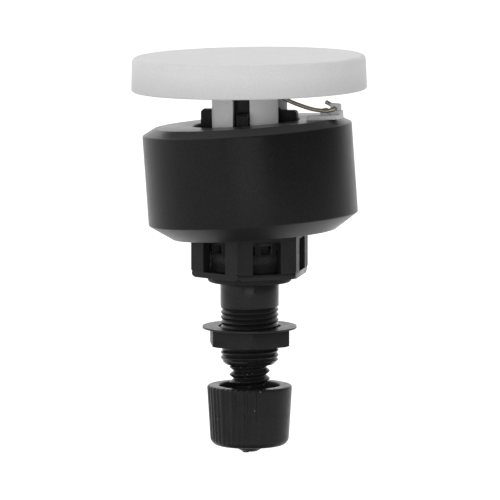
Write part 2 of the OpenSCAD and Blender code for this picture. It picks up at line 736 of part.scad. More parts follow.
module drain_seal() {
    color("#1d1d1d") tube(drain_seal_d, vent_d, seal_low, seal_top);
}

module return_spring() {
    low = crown_top + spring_wire_d/2 + seat_gap;
    high = pocket_top - spring_wire_d/2 - seat_gap;
    steps = 14;
    count = round(spring_turns*steps);
    path = [for (i = [0:count]) let (a = 360*i/steps, closed = 0.12,
            s = i/count, lift = s < closed ? 0 : s > 1 - closed ? 1 : (s - closed)/(1 - 2*closed))
            [spring_d/2*cos(a), spring_d/2*sin(a), low + (high - low)*lift]];
    color("#9a9a98") wire(path, spring_wire_d/2, 8, [0, 0, 1]);
}

// ---- the drain screw and its knob ----

module drain_screw() {
    groove_d = nose_bore_d - 2*run_gap - 4*ring_wire_r - 2*groove_gap;
    color("#1f1f20") difference() {
        union() {
            rod(nose_d, screw_thread_top - cut, nose_top);
            rod(screw_d, cup_low, screw_thread_top);
            rod(screw_foot_d, screw_foot_z, cup_low + cut);
        }
        rod(outlet_d, screw_foot_z - cut, nose_top + cut);
        translate([0, 0, oring_z])
            tube(screw_d + 1, groove_d, -ring_wire_r - groove_gap, ring_wire_r + groove_gap);
    }
}

module screw_oring() {
    color("#161616") oring(nose_bore_d/2 - run_gap - 2*ring_wire_r, ring_wire_r, oring_z);
}

module outlet_spout() {
    translate([0, 0, knob_low - spout_len]) cylinder(d1 = spout_tip_d, d2 = spout_d, h = spout_taper);
    rod(spout_d, knob_low - spout_len + spout_taper, knob_low + 0.01);
    translate([-nub_shift, 0, 0]) rod(nub_d, knob_low - spout_len - nub_h, knob_low);
}

module drain_knob() {
    lean = atan((knob_d - knob_foot_d)/2/(knob_h - knob_foot_r));
    color("#29292a") difference() {
        union() {
            rotate_extrude() polygon(concat(
                [[0, knob_low]],
                arc(knob_foot_d/2 - knob_foot_r, knob_low + knob_foot_r, knob_foot_r, -90, 0, 8),
                arc(knob_d/2 - knob_rim_r, knob_rim_z - knob_rim_r, knob_rim_r, 0, 90, 5),
                [[0, knob_rim_z]]));
            outlet_spout();
        }
        rod(cup_d, cup_low, knob_rim_z + cut);
        rod(screw_foot_d + 2*press_gap, screw_foot_z, cup_low + cut);
        rod(outlet_hole_d, knob_low - spout_len - nub_h - cut, screw_foot_z + cut);
        for (side = [0, 180], i = [0:grip_grooves - 1])
            at_bearing(grip_bearing + side + (i - (grip_grooves - 1)/2)*grip_step)
            translate([knob_d/2 + grip_r - grip_depth, 0, knob_rim_z]) rotate([0, 180 + lean, 0])
            translate([0, 0, -cut]) cylinder(r = grip_r, h = knob_h - knob_foot_r + cut, $fn = 16);
    }
}

shield_cap();
guide_tube();
inlet_cage();
strainer();
stem_body();
bowl_gasket();
cylinder_floor();
stem_seal();
pilot_nozzle();
pivot_pin();
return_spring();
lever_rocker();
pilot_pad();
lever_wire();
float_ring();
float_clip();
piston();
piston_seal();
drain_seal();
bowl_washer();
bowl_nut();
screw_oring();
drain_screw();
drain_knob();
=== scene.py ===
"""Looks of the float drain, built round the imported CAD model. Metres, +Z up, -Y to the front."""
import json
import math

import bmesh
import bpy
from mathutils import Matrix, Vector


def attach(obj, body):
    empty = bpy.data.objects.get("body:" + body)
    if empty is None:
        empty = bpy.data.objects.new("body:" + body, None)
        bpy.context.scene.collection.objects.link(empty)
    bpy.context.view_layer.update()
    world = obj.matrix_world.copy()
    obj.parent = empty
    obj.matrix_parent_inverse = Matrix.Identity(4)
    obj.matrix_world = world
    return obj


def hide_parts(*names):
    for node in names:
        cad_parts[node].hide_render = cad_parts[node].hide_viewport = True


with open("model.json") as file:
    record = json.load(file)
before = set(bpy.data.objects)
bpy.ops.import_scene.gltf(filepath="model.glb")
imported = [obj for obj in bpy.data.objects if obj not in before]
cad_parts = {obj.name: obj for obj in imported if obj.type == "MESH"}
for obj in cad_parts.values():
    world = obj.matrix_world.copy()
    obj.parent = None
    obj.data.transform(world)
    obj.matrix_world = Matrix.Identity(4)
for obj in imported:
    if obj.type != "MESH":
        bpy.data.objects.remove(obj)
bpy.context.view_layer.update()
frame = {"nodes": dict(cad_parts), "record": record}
MM = 0.001
TAU = 2 * math.pi

# ---- sizes of the pieces, in millimetres and degrees ----
# They are the CAD model's, but for the threads, which the solids show as plain rods, the spout's radius,
# and the strainer's screen and the column's lips, which only the scene has.
LEVER_BEARING = 66.0
CAGE_BEARING = -11.2
CAGE = dict(corner_r=15.15, top=12.9)
REST_GAP = 0.15
# The float is made level, then leans about the lever's side and shifts outwards, as it hangs at rest.
FLOAT = dict(r=25.75, bore=13.25, h=27.5, top_w=3.0, top_h=1.6, low_w=5.7, low_h=3.8,
             recess_r=17.0, recess_h=2.4, lean=4.4, shift=0.25)
SCREEN = dict(inner=7.3, r=7.5, low=4.15, top=9.8)
LIP = dict(start=6.1, end=8.7, inner=2.35, outer=2.72, low=42.8, top=50.0)
PLATE = dict(r=14.95, low=1.7, top=3.1, chamfer=0.55, flare=1.0, rise=0.5, overlap=0.3, edge=0.18)
SHANK = dict(r=7.2, low=-5.95, relief=6.95, bore=4.2, bore_low=-9.3)
STEM = dict(r=7.14, pitch=1.25, depth=0.45, phase=0.43, low=-20.4, chamfer=1.1, bore=5.04,
            fade_start=0.05, fade_end=0.5)
NUT = dict(af=18.8, top=-11.5, h=4.2, bearing=4.0, bore=7.17, lead_w=1.0, lead_h=0.6,
           chamfer_w=0.6, chamfer_h=0.25, edge=0.14)
KNOB = dict(rim_z=-25.7, r=10.45, foot_r=9.7, h=14.85, cup_r=7.5, cup_low=-31.5, rim_round=0.6,
            foot_round=2.0, cup_round=0.4, bearing=-38.4)
# The grooves fade out between the two heights over the foot, and by a share near the rim.
GRIP = dict(grooves=13, step=8.4, depth=0.3, cutter_r=0.6, foot_fade=(0.6, 2.1), rim_fade=(-0.7, 0.1),
            rim_share=0.6)
SPOUT = dict(r=3.3, tip_r=1.95, length=1.6, taper=0.8, hole=0.6, deep=1.0, nub_r=0.9, nub_shift=0.85,
             nub_h=0.35, nub_in=0.3)
SCREW = dict(r=4.975, pitch=1.88, depth=0.95, phase=0.2, top=-15.39, fade=0.8, run_out=-24.9, run=0.5,
             low=KNOB["cup_low"], bore=2.2, foot_r=4.275, foot_z=-38.65)
NOSE = dict(r=3.9, top=-4.8, groove_z=-6.8, groove_h=0.7, groove_r=2.85)
HOOK = dict(r=23.4, rise=1.3)
CLIP = dict(t=1.0, lug_y=0.7, lug_t=0.9)
WIRE = dict(d=1.0, pivot_z=47.2, reach=5.5, socket=4.4, straight=1.0, lug_gap=0.2, inset=0.005)
SPRING = dict(low=22.5, top=37.0, r=4.7, wire_r=0.4, gap=0.02, turns=6, flat_end=0.12, inset=0.01)
# How far a cutter runs past a face that it cuts through, and past one that its edge has to meet.
CUTTER_PAST = 1.0
SKIN = 0.01

# ---- camera, floor and world, in metres, degrees and strengths ----
CAMERA = dict(elevation=7.05, distance=1.72, aim=(0.0001, 0, 0.0077), lens=504.0)
# The paper carries a painted shadow under the part's foot, which shows in reflections only.
FLOOR = dict(z=-0.078, half=4.0, paper=0.88, glow=0.58, painted_shadow_share=0.1, foot_r=12 * MM, clear_r=70 * MM)
# Strengths from the lighter side of the world to the dimmer one, and where along dim_side they change.
WORLD = dict(dim_side=(0.8, -0.6, 0.0), mirrored=(1.4, 0.32), mirrored_span=(-0.2, 0.55),
             lit=(0.69, 0.62), lit_span=(-0.6, 1.0))


# ---------------------------------------------------------------- places

def lever_frame():
    """The turn about +Z that carries +X to the lever's bearing, counted from the front to the right."""
    return Matrix.Rotation(math.radians(LEVER_BEARING - 90), 4, "Z")


def float_mid():
    """Height of the resting float's middle, where its recess leans on the cage's corner."""
    f, lean = FLOAT, math.radians(FLOAT["lean"])
    return (CAGE["top"] + REST_GAP + (f["h"] / 2 - f["recess_h"]) * math.cos(lean)
            + (CAGE["corner_r"] + f["shift"]) * math.sin(lean))


def float_frame():
    f = FLOAT
    return (lever_frame() @ Matrix.Translation((f["shift"] * MM, 0, float_mid() * MM))
            @ Matrix.Rotation(math.radians(-f["lean"]), 4, "Y"))


def hook_point():
    """Where the wire passes through the lug of the resting float's clip, in the lever's frame."""
    f, lean = FLOAT, math.radians(FLOAT["lean"])
    up = f["h"] / 2 + CLIP["t"] + HOOK["rise"]
    return Vector((f["shift"] + HOOK["r"] * math.cos(lean) - up * math.sin(lean), 0,
                   float_mid() + HOOK["r"] * math.sin(lean) + up * math.cos(lean)))


# ---------------------------------------------------------------- curves and outlines

def ease_line(x, a, b):
    """0 up to a and 1 from b on, in a straight line between them."""
    return min(max((x - a) / (b - a), 0.0), 1.0)


def ease(x, a, b):
    """0 up to a and 1 from b on, in a smooth step between them."""
    t = ease_line(x, a, b)
    return t * t * (3 - 2 * t)


def along_profile(xs, ys, x):
    """The value at x of the closed run of straight lines through (xs, ys), with period 1."""
    for i in range(len(xs)):
        x0, y0 = xs[i], ys[i]
        x1, y1 = (xs[i + 1], ys[i + 1]) if i + 1 < len(xs) else (1.0 + xs[0], ys[0])
        if x0 <= x <= x1:
            return y0 + (y1 - y0) * (x - x0) / (x1 - x0)
    return ys[0]


def fillet(points, radii, steps):
    """The closed outline, rounded at each corner of a radius above 0 over less than half of its sides."""
    under_half = 0.49
    out = []
    n = len(points)
    for i, p in enumerate(points):
        r = radii[i]
        p = Vector(p)
        if r <= 0:
            out.append(tuple(p))
            continue
        a = (Vector(points[i - 1]) - p)
        b = (Vector(points[(i + 1) % n]) - p)
        da, db = a.normalized(), b.normalized()
        half = math.acos(max(-1, min(1, da.dot(db)))) / 2
        cut = min(r / math.tan(half), a.length * under_half, b.length * under_half)
        r = cut * math.tan(half)
        centre = p + (da + db).normalized() * (r / math.sin(half))
        start, end = p + da * cut - centre, p + db * cut - centre
        turn = math.atan2(start.x * end.y - start.y * end.x, start.dot(end))
        for k in range(steps + 1):
            t = turn * k / steps
            c, s = math.cos(t), math.sin(t)
            out.append((centre.x + start.x * c - start.y * s, centre.y + start.x * s + start.y * c))
    return out


def quarter(r, z, radius, start, steps):
    """A quarter of the circle about (r, z), counterclockwise from the start in degrees."""
    turns = [math.radians(start + 90 * i / steps) for i in range(steps + 1)]
    return [(r + radius * math.cos(a), z + radius * math.sin(a)) for a in turns]


def hexagon(r, bearing):
    turns = [math.radians(bearing - 90 + 60 * k) for k in range(6)]
    return [(r * math.cos(a), r * math.sin(a)) for a in turns]


def smooth_path(points, steps):
    """A Catmull-Rom curve through the points."""
    out = []
    pts = [Vector(p) for p in points]
    for i in range(len(pts) - 1):
        a, b, c, d = pts[max(i - 1, 0)], pts[i], pts[i + 1], pts[min(i + 2, len(pts) - 1)]
        for j in range(steps):
            t = j / steps
            out.append(0.5 * ((2 * b) + (c - a) * t + (2 * a - 5 * b + 4 * c - d) * t * t
                              + (3 * b - a - 3 * c + d) * t ** 3))
    out.append(pts[-1])
    return out


# ---------------------------------------------------------------- meshes

def linked(name, data):
    """A new object in the scene."""
    obj = bpy.data.objects.new(name, data)
    bpy.context.scene.collection.objects.link(obj)
    return obj


def soften(obj, angle):
    """Shades smooth, and edges sharper than the angle stay sharp."""
    obj.data.shade_smooth()
    obj.data.set_sharp_from_angle(angle=math.radians(angle))


def obj_from(name, verts, faces, smooth_angle=35.0):
    """A mesh object at the origin from vertices in millimetres."""
    mesh = bpy.data.meshes.new(name)
    mesh.from_pydata([tuple(c * MM for c in v) for v in verts], [], faces)
    bm = bmesh.new()
    bm.from_mesh(mesh)
    bmesh.ops.remove_doubles(bm, verts=bm.verts, dist=1e-7)
    bmesh.ops.dissolve_degenerate(bm, dist=1e-8, edges=bm.edges)
    bmesh.ops.recalc_face_normals(bm, faces=bm.faces)
    bm.to_mesh(mesh)
    bm.free()
    obj = linked(name, mesh)
    soften(obj, smooth_angle)
    return obj


def object_of(name, bm):
    mesh = bpy.data.meshes.new(name)
    bm.to_mesh(mesh)
    bm.free()
    return linked(name, mesh)


def join(name, objs):
    """One object from several, which are used up."""
    bm = bmesh.new()
    for o in objs:
        bm.from_mesh(o.data)
        discard(o)
    return object_of(name, bm)


def welded_copy(node_name, name):
    """A new object with the CAD node's shape, whose split edges are joined again."""
    source = frame["nodes"][node_name]
    bm = bmesh.new()
    bm.from_mesh(source.data)
    bm.transform(source.matrix_world)
    bmesh.ops.remove_doubles(bm, verts=bm.verts, dist=2e-6)
    bmesh.ops.recalc_face_normals(bm, faces=bm.faces)
    return object_of(name, bm)


def discard(obj):
    mesh = obj.data
    bpy.data.objects.remove(obj)
    bpy.data.meshes.remove(mesh)


def bake(obj):
    """Applies every modifier."""
    bpy.context.view_layer.update()
    depsgraph = bpy.context.evaluated_depsgraph_get()
    mesh = bpy.data.meshes.new_from_object(obj.evaluated_get(depsgraph))
    old = obj.data
    obj.modifiers.clear()
    obj.data = mesh
    bpy.data.meshes.remove(old)


def boolean(obj, cutter, operation="DIFFERENCE"):
    """Cuts the object with the cutter, which is used up."""
    mod = obj.modifiers.new("cut", "BOOLEAN")
    mod.operation = operation
    mod.solver = "EXACT"
    mod.object = cutter
    bake(obj)
    discard(cutter)


def turned_and_bored(obj, cone, hole, segs):
    """Turns a prism's corners down to the cone's outline and bores it along the hole's."""
    boolean(obj, lathe("cone", cone, segs), "INTERSECT")
    boolean(obj, lathe("hole", hole, segs))


def rounded(obj, width, segments):
    """Rounds the edges of a flat-sided piece, whose faces stay flat."""
    mod = obj.modifiers.new("round", "BEVEL")
    mod.width = width * MM
    mod.segments = segments
    mod.limit_method = "ANGLE"
    mod.angle_limit = math.radians(25)
    bake(obj)
    soften(obj, 30)


def prism(name, outline, low, top):
    """A straight solid over the outline."""
    n = len(outline)
    verts = [(x, y, z) for z in (low, top) for x, y in outline]
    faces = [tuple(range(n)), tuple(range(2 * n - 1, n - 1, -1))]
    faces += [(i, (i + 1) % n, n + (i + 1) % n, n + i) for i in range(n)]
    return obj_from(name, verts, faces, 30)


def lathe(name, outline, segs, smooth_angle=35.0, radius=None):
    """The closed outline of (r, z) points turned about +Z. radius(r, z, angle) may change r."""
    n = len(outline)
    verts, faces = [], []
    for i in range(segs):
        a = TAU * i / segs
        for r, z in outline:
            q = radius(r, z, a) if radius else r
            verts.append((q * math.cos(a), q * math.sin(a), z))
    for i in range(segs):
        j = (i + 1) % segs
        for k in range(n):
            m = (k + 1) % n
            on_axis = outline[k][0] == 0 and outline[m][0] == 0
            if not on_axis:
                faces.append((i * n + k, j * n + k, j * n + m, i * n + m))
    return obj_from(name, verts, faces, smooth_angle)


def sweep(name, path, radius, sides):
    """A round wire along the path, with rounded ends."""
    flatness = 0.4
    dome = [(share, math.sqrt(1 - share * share)) for share in (0.98, 0.8, 0.45)]
    pts = [Vector(p) for p in path]
    across = Vector((0, 0, 1))
    rings = []
    for i, p in enumerate(pts):
        along = (pts[min(i + 1, len(pts) - 1)] - pts[max(i - 1, 0)]).normalized()
        across = (across - along * across.dot(along)).normalized()
        rings.append((p, along, across.copy(), 1.0))
    first, last = rings[0], rings[-1]
    start = [(first[0] - first[1] * radius * share * flatness, first[1], first[2], size)
             for share, size in dome]
    end = [(last[0] + last[1] * radius * share * flatness, last[1], last[2], size)
           for share, size in reversed(dome)]
    rings = start + rings + end
    verts, faces = [], []
    for p, along, across, size in rings:
        side = along.cross(across)
        for k in range(sides):
            a = TAU * k / sides
            verts.append(p + (across * math.cos(a) + side * math.sin(a)) * radius * size)
    for i in range(len(rings) - 1):
        for k in range(sides):
            m = (k + 1) % sides
            faces.append((i * sides + k, (i + 1) * sides + k, (i + 1) * sides + m, i * sides + m))
    faces.append(tuple(range(sides)))
    faces.append(tuple((len(rings) - 1) * sides + k for k in reversed(range(sides))))
    return obj_from(name, verts, faces, 60)


def thread(name, outer, inner, low, high, pitch, profile, phase, segs=144):
    """A threaded tube. outer(z, share) gives the threaded wall's radius at height z, where share runs
    from 0 on the crest to 1 at the root as profile, a list of (share of the pitch, share of the depth),
    says; inner is the plain wall's radius."""
    marks, depth = [m for m, _ in profile], [d for _, d in profile]
    count = len(marks)
    spare_turns = 3
    first = math.floor(low / pitch) - spare_turns
    rows = (math.ceil(high / pitch) + spare_turns - first) * count
    verts, faces = [], []
    for i in range(segs):
        a = TAU * i / segs
        for m in range(rows):
            z = pitch * (first + m // count + marks[m % count] + i / segs + phase)
            share = depth[m % count]
            if z <= low or z >= high:
                z = min(max(z, low), high)
                share = along_profile(marks, depth, (z / pitch - i / segs - phase) % 1.0)
            r = outer(z, share)
            verts.append((r * math.cos(a), r * math.sin(a), z))
        verts.append((inner * math.cos(a), inner * math.sin(a), high))
        verts.append((inner * math.cos(a), inner * math.sin(a), low))
    stride = rows + 2
    top, bottom = rows, rows + 1
    for i in range(segs):
        j = (i + 1) % segs
        shift = count if j == 0 else 0
        for m in range(rows - 1):
            faces.append((i * stride + m, j * stride + min(m + shift, rows - 1),
                          j * stride + min(m + 1 + shift, rows - 1), i * stride + m + 1))
        faces.append((i * stride + rows - 1, j * stride + rows - 1, j * stride + top, i * stride + top))
        faces.append((i * stride + top, j * stride + top, j * stride + bottom, i * stride + bottom))
        faces.append((i * stride + bottom, j * stride + bottom, j * stride, i * stride))
    return obj_from(name, verts, faces, 50)


# ---------------------------------------------------------------- shader nodes

def put(tree, socket, value):
    """Links the socket to an output, or sets it to a number or a colour."""
    if isinstance(value, bpy.types.NodeSocket):
        tree.links.new(value, socket)
    elif isinstance(value, tuple):
        socket.default_value = (*value, 1)
    else:
        socket.default_value = value


def mixed(tree, factor, a, b, data_type="FLOAT"):
    """a where the factor is 0 and b where it is 1; each is an output, a number or a colour."""
    n = tree.nodes.new("ShaderNodeMix")
    n.data_type = data_type
    for name, value in (("Factor", factor), ("A", a), ("B", b)):
        put(tree, n.inputs[name], value)
    return n.outputs["Result"]


def mapped(tree, value, low, high, from_low=0.3, from_high=0.7, smooth=False):
    """The value carried from its own range to low and high, and held there outside it."""
    n = tree.nodes.new("ShaderNodeMapRange")
    n.interpolation_type = "SMOOTHSTEP" if smooth else "LINEAR"
    n.inputs["From Min"].default_value = from_low
    n.inputs["From Max"].default_value = from_high
    n.inputs["To Min"].default_value = low
    n.inputs["To Max"].default_value = high
    tree.links.new(value, n.inputs["Value"])
    return n.outputs["Result"]


def calculated(tree, operation, a, b):
    n = tree.nodes.new("ShaderNodeMath")
    n.operation = operation
    put(tree, n.inputs[0], a)
    put(tree, n.inputs[1], b)
    return n.outputs["Value"]


def scaled(tree, color, share):
    n = tree.nodes.new("ShaderNodeVectorMath")
    n.operation = "SCALE"
    tree.links.new(color, n.inputs[0])
    tree.links.new(share, n.inputs["Scale"])
    return n.outputs["Vector"]


def height_of(tree, vector):
    n = tree.nodes.new("ShaderNodeSeparateXYZ")
    tree.links.new(vector, n.inputs["Vector"])
    return n.outputs["Z"]


def reach_of(tree, vector):
    """Distance from the Z axis."""
    flat = tree.nodes.new("ShaderNodeVectorMath")
    flat.operation = "MULTIPLY"
    flat.inputs[1].default_value = (1, 1, 0)
    tree.links.new(vector, flat.inputs[0])
    n = tree.nodes.new("ShaderNodeVectorMath")
    n.operation = "LENGTH"
    tree.links.new(flat.outputs["Vector"], n.inputs[0])
    return n.outputs["Value"]


def object_coords(tree):
    return tree.nodes.new("ShaderNodeTexCoord").outputs["Object"]


def noise(tree, coords, scale_mm, detail, rough, stretch):
    """Noise with features of about scale_mm, drawn out by stretch where that is given."""
    n = tree.nodes.new("ShaderNodeTexNoise")
    n.inputs["Scale"].default_value = 1.0 / (scale_mm * MM)
    n.inputs["Detail"].default_value = detail
    n.inputs["Roughness"].default_value = rough
    if stretch:
        m = tree.nodes.new("ShaderNodeMapping")
        m.inputs["Scale"].default_value = stretch
        tree.links.new(coords, m.inputs["Vector"])
        coords = m.outputs["Vector"]
    tree.links.new(coords, n.inputs["Vector"])
    return n.outputs["Fac"]


# ---------------------------------------------------------------- materials

def drifting(tree, coords, dark, light, cloud_mm, fleck, fleck_mm, stretch):
    """Colour that drifts from dark to light in clouds, with a share of flecks over them."""
    cloud = mapped(tree, noise(tree, coords, cloud_mm, 4.0, 0.6, stretch), 0, 1)
    flecks = mapped(tree, noise(tree, coords, fleck_mm, 1.0, 0.5, stretch), 0, 1, 0.35, 0.65)
    return mixed(tree, mixed(tree, fleck, cloud, flecks), dark, light, "RGBA")


def specked(tree, coords, color, every_mm, size, tint):
    """Small specks, one in every_mm, whose radius is that share of it."""
    spots = tree.nodes.new("ShaderNodeTexVoronoi")
    spots.inputs["Scale"].default_value = 1.0 / (every_mm * MM)
    tree.links.new(coords, spots.inputs["Vector"])
    near = mapped(tree, spots.outputs["Distance"], 1, 0, size * 0.5, size)
    return mixed(tree, near, color, tint, "RGBA")


def painted_crevice_shade(tree, color, crevice_shade_mm):
    """Painted shade: darker where walls closer than the given millimetres shut the light out."""
    sky = tree.nodes.new("ShaderNodeAmbientOcclusion")
    sky.samples = 8
    sky.inputs["Distance"].default_value = crevice_shade_mm * MM
    return scaled(tree, color, mapped(tree, sky.outputs["AO"], 0.5, 1.0, 0.25, 0.8))


def dust_and_painted_sheen(tree, color, tint, upper, under):
    """Dust and painted reflection lighten the upper faces by one strength, and painted reflection lightens
    the under faces by another.
    """
    up = height_of(tree, tree.nodes.new("ShaderNodeNewGeometry").outputs["Normal"])
    for sign, strength in ((1, upper), (-1, under)):
        lies = mapped(tree, up, 0.0, strength, 0.25 * sign, 0.85 * sign, True)
        color = mixed(tree, lies, color, tint, "RGBA")
    return color


def painted_shade_by_height(tree, coords, color, top_z, low_z, low, radius):
    """Painted shade: darker from top_z down to a share of low at low_z, outside the radius only."""
    edge = 4.0
    dim = mapped(tree, height_of(tree, coords), 1.0, low, top_z * MM, low_z * MM)
    outside = mapped(tree, reach_of(tree, coords), 0.0, 1.0, radius * MM, (radius + edge) * MM)
    return scaled(tree, color, mixed(tree, outside, 1.0, dim))


def textured_normal(tree, coords, edge, bumps, stretch):
    """Edges softened by a radius, and noise bumps over them, a list of (size, height) in millimetres."""
    normal = None
    if edge:
        bevel = tree.nodes.new("ShaderNodeBevel")
        bevel.samples = 6
        bevel.inputs["Radius"].default_value = edge * MM
        normal = bevel.outputs["Normal"]
    for size, height in bumps:
        if height:
            bump = tree.nodes.new("ShaderNodeBump")
            bump.inputs["Distance"].default_value = height * MM
            bump.inputs["Strength"].default_value = 1.0
            tree.links.new(noise(tree, coords, size, 2.0, 0.5, stretch), bump.inputs["Height"])
            if normal:
                tree.links.new(normal, bump.inputs["Normal"])
            normal = bump.outputs["Normal"]
    return normal


def material(name, dark, light, rough, ior=1.45, metallic=0.0, cloud_mm=6.0, fleck=0.35, fleck_mm=0.28,
             grain_mm=0.25, grain_h=0.004, wave_mm=3.0, wave_h=0.0, edge=0.0, stretch=None, subsurface=0.0,
             speck=None, crevice_shade_mm=0.0, dust_and_sheen=None, shade=None):
    """A moulded, rubber or metal surface. Colour drifts from dark to light, and specks, painted shade in
    crevices, dusting with painted reflection and painted shade by height are laid over it in that order, as
    the functions above say; rough is the range of roughness; grain and wave are bumps and edge is a softened
    edge, all in millimetres."""
    mat = bpy.data.materials.new(name)
    mat.use_nodes = True
    tree = mat.node_tree
    shader = tree.nodes["Principled BSDF"]
    coords = object_coords(tree)
    color = drifting(tree, coords, dark, light, cloud_mm, fleck, fleck_mm, stretch)
    if speck:
        color = specked(tree, coords, color, **speck)
    if crevice_shade_mm:
        color = painted_crevice_shade(tree, color, crevice_shade_mm)
    if dust_and_sheen:
        color = dust_and_painted_sheen(tree, color, **dust_and_sheen)
    if shade:
        color = painted_shade_by_height(tree, coords, color, **shade)
    tree.links.new(color, shader.inputs["Base Color"])
    patch = noise(tree, coords, cloud_mm * 0.35, 3.0, 0.6, stretch)
    tree.links.new(mapped(tree, patch, rough[0], rough[1]), shader.inputs["Roughness"])
    shader.inputs["Metallic"].default_value = metallic
    shader.inputs["IOR"].default_value = ior
    if subsurface:
        shader.inputs["Subsurface Weight"].default_value = subsurface
        shader.inputs["Subsurface Radius"].default_value = (0.9, 0.9, 0.9)
        shader.inputs["Subsurface Scale"].default_value = 2.0 * MM
    normal = textured_normal(tree, coords, edge, [(wave_mm, wave_h), (grain_mm, grain_h)], stretch)
    if normal:
        tree.links.new(normal, shader.inputs["Normal"])
    return mat


def grey(v):
    return (v, v, v)


LOOKS = {
    "cap_white": dict(
        dark=grey(0.735), light=grey(0.795), rough=(0.45, 0.55), ior=1.35, cloud_mm=9, fleck=0.6,
        fleck_mm=0.4, grain_mm=0.35, grain_h=0.003, wave_mm=6, wave_h=0.01, edge=0.15, subsurface=0.25,
        # Painted shade: the cap's side darkens towards its lower edge.
        shade=dict(top_z=53.0, low_z=44.5, low=0.74, radius=18),
        speck=dict(every_mm=9.0, size=0.012, tint=grey(0.45))),
    "housing_black": dict(
        dark=grey(0.008), light=grey(0.018), rough=(0.36, 0.5), ior=1.24, cloud_mm=5, fleck=0.5,
        grain_mm=0.3, grain_h=0.006, edge=0.25),
    "cage_black": dict(
        dark=grey(0.012), light=grey(0.022), rough=(0.36, 0.5), ior=1.22, cloud_mm=4, fleck=0.55,
        grain_mm=0.3, grain_h=0.008, edge=0.2),
    "strainer_black": dict(
        dark=grey(0.030), light=grey(0.046), rough=(0.5, 0.65), ior=1.15, cloud_mm=4, fleck=0.5,
        grain_mm=0.3, grain_h=0.006, edge=0.1),
    "stem_black": dict(
        dark=grey(0.008), light=grey(0.018), rough=(0.16, 0.26), ior=1.26, cloud_mm=5, fleck=0.5,
        # Painted shade darkens the thread's roots and other crevices.
        grain_mm=0.3, grain_h=0.008, wave_mm=1.6, wave_h=0.012, crevice_shade_mm=0.5),
    "gasket_rubber": dict(
        dark=grey(0.008), light=grey(0.018), rough=(0.5, 0.65), ior=1.25, cloud_mm=4, fleck=0.5,
        grain_mm=0.3, grain_h=0.006),
    "inner_black": dict(dark=grey(0.02), light=grey(0.03), rough=(0.4, 0.55), cloud_mm=4),
    "seal_rubber": dict(dark=grey(0.014), light=grey(0.02), rough=(0.35, 0.5), cloud_mm=2, grain_h=0.002),
    "nozzle_brass": dict(
        dark=(0.50, 0.36, 0.14), light=(0.66, 0.50, 0.22), rough=(0.22, 0.34), metallic=1.0, cloud_mm=2,
        grain_mm=0.12, grain_h=0.002, stretch=(1, 1, 9)),
    "pin_steel": dict(
        dark=grey(0.48), light=grey(0.6), rough=(0.22, 0.36), metallic=1.0, cloud_mm=2,
        grain_mm=0.12, grain_h=0.002),
    "spring_steel": dict(
        dark=grey(0.42), light=grey(0.58), rough=(0.25, 0.38), metallic=1.0, cloud_mm=2,
        grain_mm=0.1, grain_h=0.002),
    "rocker_steel": dict(
        dark=grey(0.34), light=grey(0.46), rough=(0.3, 0.45), metallic=1.0, cloud_mm=3,
        grain_mm=0.15, grain_h=0.003, edge=0.12),
    "wire_steel": dict(
        dark=(0.36, 0.31, 0.23), light=(0.56, 0.50, 0.39), rough=(0.24, 0.38), metallic=1.0, cloud_mm=1.6,
        grain_mm=0.1, grain_h=0.002),
    "float_black": dict(
        dark=grey(0.002), light=grey(0.008), rough=(0.28, 0.34), ior=1.25, cloud_mm=14, fleck=0.7,
        fleck_mm=0.4, grain_mm=0.4, grain_h=0.008, wave_mm=5, wave_h=0.012,
        speck=dict(every_mm=7.0, size=0.016, tint=grey(0.3)),
        # Dust and painted reflection lighten the float's upper faces, and painted reflection lightens its
        # under faces.
        dust_and_sheen=dict(tint=grey(0.12), upper=0.4, under=0.1)),
    "clip_grey": dict(
        dark=grey(0.56), light=grey(0.70), rough=(0.35, 0.5), ior=1.4, cloud_mm=2.5, grain_mm=0.25,
        edge=0.1, subsurface=0.15),
    "piston_plastic": dict(
        dark=grey(0.03), light=grey(0.045), rough=(0.4, 0.55), ior=1.3, cloud_mm=4, grain_h=0.003),
    "washer_steel": dict(
        dark=grey(0.008), light=grey(0.02), rough=(0.3, 0.42), ior=1.3, cloud_mm=5,
        grain_mm=0.2, grain_h=0.003, edge=0.1),
    "nut_black": dict(
        dark=grey(0.006), light=grey(0.016), rough=(0.36, 0.5), ior=1.24, cloud_mm=4, fleck=0.5,
        grain_mm=0.3, grain_h=0.008),
    "screw_black": dict(
        dark=grey(0.006), light=grey(0.016), rough=(0.2, 0.36), ior=1.2, cloud_mm=2.5, fleck=0.5,
        # Painted shade darkens the thread's roots and other crevices.
        grain_mm=0.3, grain_h=0.03, wave_mm=0.9, wave_h=0.07, crevice_shade_mm=0.6,
        # The screw's light specks are painted glints.
        speck=dict(every_mm=0.9, size=0.16, tint=grey(0.2))),
    "knob_black": dict(
        dark=grey(0.009), light=grey(0.021), rough=(0.24, 0.38), ior=1.22, cloud_mm=5, fleck=0.55,
        # Painted shade darkens the grip grooves and other crevices.
        grain_mm=0.3, grain_h=0.009, wave_mm=2.2, wave_h=0.015, crevice_shade_mm=0.25,
        speck=dict(every_mm=4, size=0.045, tint=grey(0.2))),
}
MATS = {name: material(name, **look) for name, look in LOOKS.items()}
SLOT = {s["node"]: s["material_slot"] for s in frame["record"]["subparts"]}


def keep(node_name):
    """Shows a CAD node as it is, with its finished material."""
    obj = frame["nodes"][node_name]
    if obj.material_slots:
        obj.material_slots[0].material = MATS[SLOT[node_name]]
    else:
        obj.data.materials.append(MATS[SLOT[node_name]])


def add(obj, body, node_name):
    """Gives a new piece the material of the CAD node's slot, and rides it on the body."""
    slot_name = SLOT[node_name]
    obj.data.materials.clear()
    obj.data.materials.append(MATS[slot_name])
    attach(obj, body)


def place(obj, body, node_name):
    """Adds a new piece that stands for the CAD node."""
    add(obj, body, node_name)
    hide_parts(node_name)


# ---------------------------------------------------------------- float, strainer and lips

